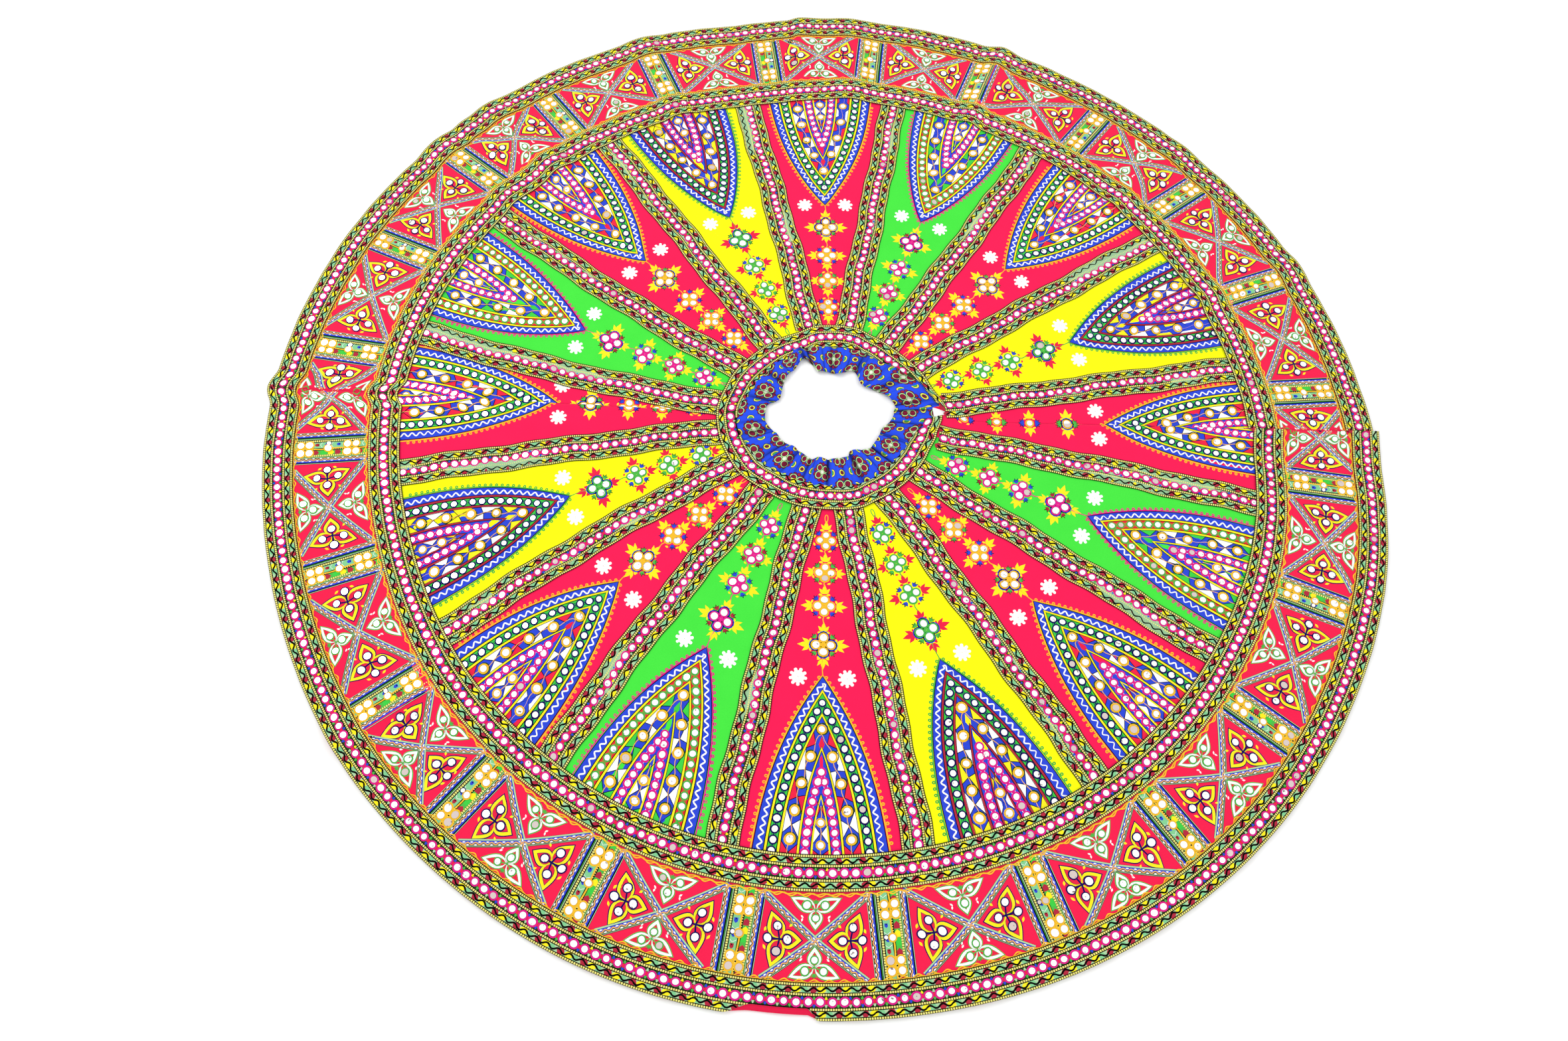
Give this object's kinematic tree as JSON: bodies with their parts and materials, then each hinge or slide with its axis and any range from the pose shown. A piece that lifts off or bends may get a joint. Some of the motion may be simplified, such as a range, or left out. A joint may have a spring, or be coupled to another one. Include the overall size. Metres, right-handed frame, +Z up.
{
  "type": "chaniya skirt",
  "caption": "Full-circle gored skirt of a chaniya choli, laid out flat, with beaded ribbon trims over its seams, a patterned border and a gathered waistband.",
  "frame": {"origin": "on the ground, in the middle of the laid skirt's box, inside the waist hole", "axes": "+Z up out of the ground, towards the skirt's right side; +X towards the side seam with the placket slit, +Y towards the back half"},
  "size_m": [2.2146, 2.2042, 0.0081],
  "materials": {
    "pink_gore": "plain cotton, pink red, embroidered",
    "yellow_gore": "plain cotton, bright yellow, embroidered",
    "green_gore": "plain cotton, bright green, embroidered",
    "border_cloth": "cotton patchwork and thread work on pink red",
    "ribbon_trim": "woven ribbon with bead-like ladder lines, leaves and stitched mirrors",
    "waistband_print": "printed cotton, royal blue with small flowers and dots"
  },
  "bodies": {
    "root": {"gore_01_back": "pink_gore", "gore_01_front": "pink_gore", "gore_02": "yellow_gore", "gore_03": "pink_gore", "gore_04": "green_gore", "gore_05": "pink_gore", "gore_06": "yellow_gore", "gore_07": "pink_gore", "gore_08": "green_gore", "gore_09_back": "pink_gore", "gore_09_front": "pink_gore", "gore_10": "yellow_gore", "gore_11": "pink_gore", "gore_12": "green_gore", "gore_13": "pink_gore", "gore_14": "yellow_gore", "gore_15": "pink_gore", "gore_16": "green_gore", "radial_trim_01": "ribbon_trim", "radial_trim_02": "ribbon_trim", "radial_trim_03": "ribbon_trim", "radial_trim_04": "ribbon_trim", "radial_trim_05": "ribbon_trim", "radial_trim_06": "ribbon_trim", "radial_trim_07": "ribbon_trim", "radial_trim_08": "ribbon_trim", "radial_trim_09": "ribbon_trim", "radial_trim_10": "ribbon_trim", "radial_trim_11": "ribbon_trim", "radial_trim_12": "ribbon_trim", "radial_trim_13": "ribbon_trim", "radial_trim_14": "ribbon_trim", "radial_trim_15": "ribbon_trim", "radial_trim_16": "ribbon_trim", "waist_trim_back": "ribbon_trim", "yoke_trim_back": "ribbon_trim", "hem_trim_back": "ribbon_trim", "border_back": "border_cloth", "waist_trim_front": "ribbon_trim", "yoke_trim_front": "ribbon_trim", "hem_trim_front": "ribbon_trim", "border_front": "border_cloth", "waistband": "waistband_print"}
  },
  "joints": []
}
